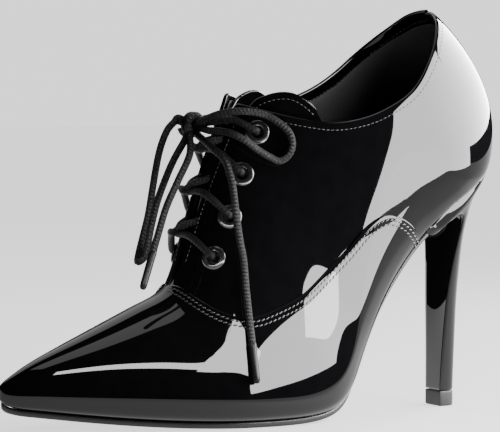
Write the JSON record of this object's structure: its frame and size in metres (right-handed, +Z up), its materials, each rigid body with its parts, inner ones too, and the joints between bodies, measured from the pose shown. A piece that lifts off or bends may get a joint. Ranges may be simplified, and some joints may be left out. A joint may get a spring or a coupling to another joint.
{
  "type": "stiletto pump",
  "caption": "Lace-up stiletto pump with a pointed toe, a concealed platform and a slim high heel, tied in a bow.",
  "frame": {"origin": "on the floor at the middle of the whole shoe", "axes": "+X from the toe to the heel, -Y to the outer side of the foot, +Z up"},
  "size_m": [0.2266, 0.0808, 0.169],
  "materials": {
    "patent": "high gloss",
    "lining": "matte",
    "rubber": "matte",
    "enamel": "gloss",
    "waxed_cord": "satin"
  },
  "bodies": {
    "root": {"upper": "patent", "sole": "rubber", "insole": "lining", "tongue": "patent", "heel": "patent", "heel_tip": "rubber", "eyelet_outer_1": "enamel", "eyelet_outer_2": "enamel", "eyelet_outer_3": "enamel", "eyelet_outer_4": "enamel", "eyelet_inner_1": "enamel", "eyelet_inner_2": "enamel", "eyelet_inner_3": "enamel", "eyelet_inner_4": "enamel", "lace_crossings": "waxed_cord", "lace_knot": "waxed_cord", "lace_loop_outer": "waxed_cord", "lace_loop_inner": "waxed_cord", "lace_end_outer": "waxed_cord", "lace_end_inner": "waxed_cord", "aglet_outer": "enamel", "aglet_inner": "enamel"}
  },
  "joints": []
}
